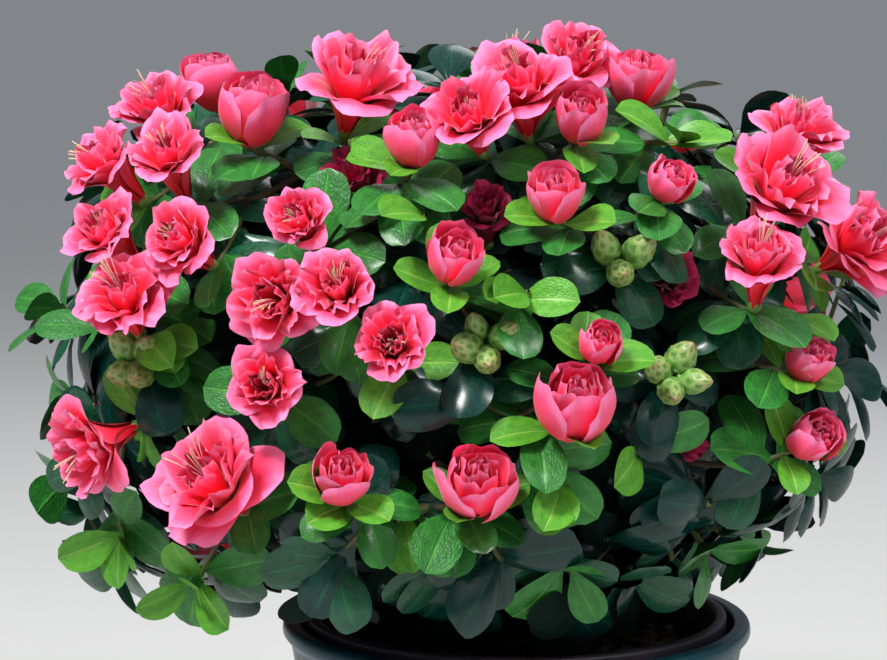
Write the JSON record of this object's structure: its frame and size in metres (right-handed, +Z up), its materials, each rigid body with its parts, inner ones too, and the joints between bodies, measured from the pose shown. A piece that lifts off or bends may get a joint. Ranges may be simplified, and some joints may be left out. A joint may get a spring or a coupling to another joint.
{
  "type": "flowering azalea shrub in a pot",
  "caption": "Small azalea shrub in full flower in a round tapered pot; stands on the pot's flat underside as an indoor or patio plant.",
  "frame": {"origin": "centre of the cover pot's flat underside", "axes": "+Z up, -Y towards the side the plant is shown from, +X to the right of that view"},
  "size_m": [0.4602, 0.4093, 0.4603],
  "materials": {
    "cover_pot": "satin",
    "grower_pot": "satin",
    "soil": "matte",
    "bark": "matte",
    "foliage": "satin"
  },
  "bodies": {
    "root": {"cover_pot": "cover_pot", "grower_pot": "grower_pot", "soil": "soil", "stem": "bark", "bough_top": "bark", "mass_top": "foliage", "bough_upper_1": "bark", "mass_upper_1": "foliage", "bough_upper_2": "bark", "mass_upper_2": "foliage", "bough_upper_3": "bark", "mass_upper_3": "foliage", "bough_upper_4": "bark", "mass_upper_4": "foliage", "bough_upper_5": "bark", "mass_upper_5": "foliage", "bough_upper_6": "bark", "mass_upper_6": "foliage", "bough_lower_1": "bark", "mass_lower_1": "foliage", "bough_lower_2": "bark", "mass_lower_2": "foliage", "bough_lower_3": "bark", "mass_lower_3": "foliage", "bough_lower_4": "bark", "mass_lower_4": "foliage", "bough_lower_5": "bark", "mass_lower_5": "foliage", "bough_lower_6": "bark", "mass_lower_6": "foliage", "bough_lower_7": "bark", "mass_lower_7": "foliage", "bough_lower_8": "bark", "mass_lower_8": "foliage"}
  },
  "joints": []
}
